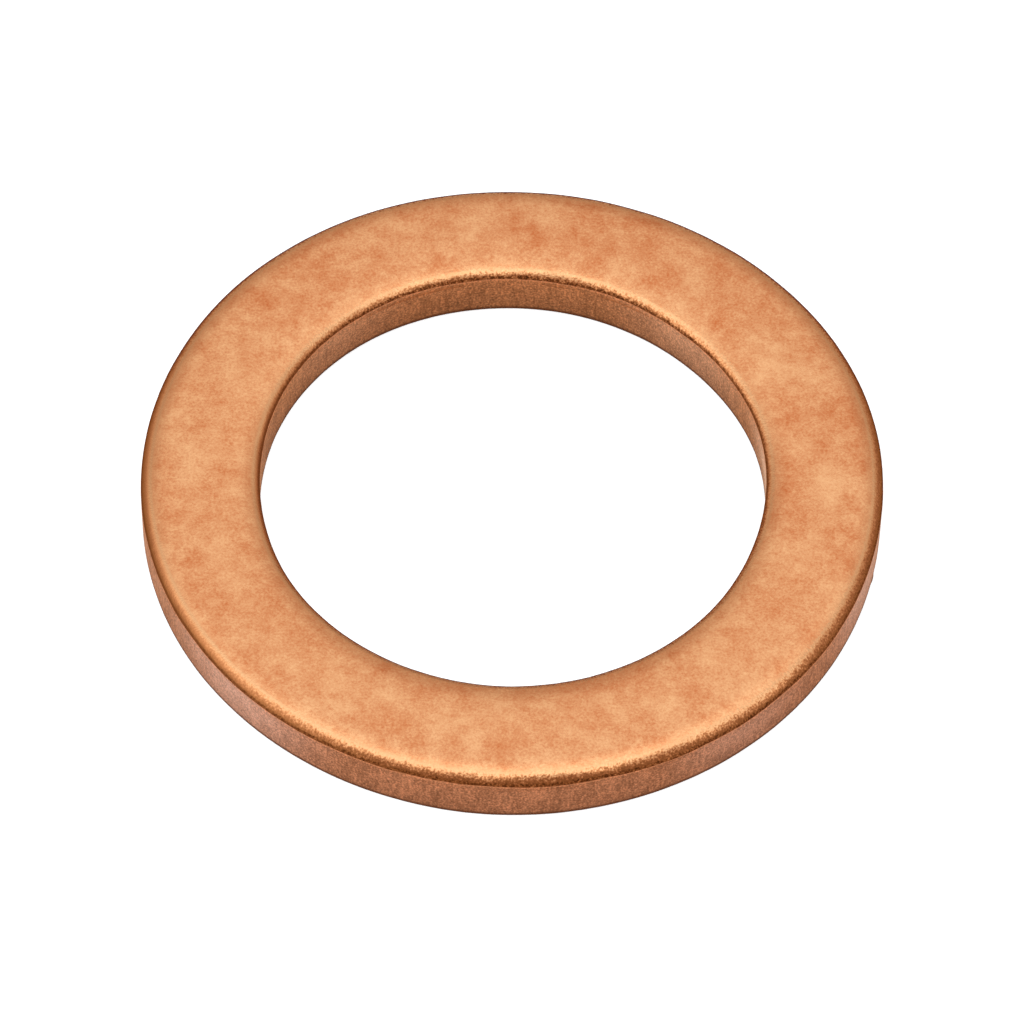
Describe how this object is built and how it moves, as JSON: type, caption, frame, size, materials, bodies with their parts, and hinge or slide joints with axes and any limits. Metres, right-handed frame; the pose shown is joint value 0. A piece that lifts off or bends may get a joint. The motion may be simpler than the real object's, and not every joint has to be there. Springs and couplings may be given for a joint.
{
  "type": "gasket washer",
  "caption": "Flat copper ring washer that is crushed under a bolt or union head to seal it, with rolled-over upper edges and sheared walls.",
  "frame": {"origin": "centre of the bore on the lower sealing face", "axes": "+Z along the bore axis, from the lower face to the upper face with the rolled-over edges"},
  "size_m": [0.0178, 0.0178, 0.0015],
  "materials": {
    "copper": "satin"
  },
  "bodies": {
    "root": {"washer": "copper"}
  },
  "joints": []
}
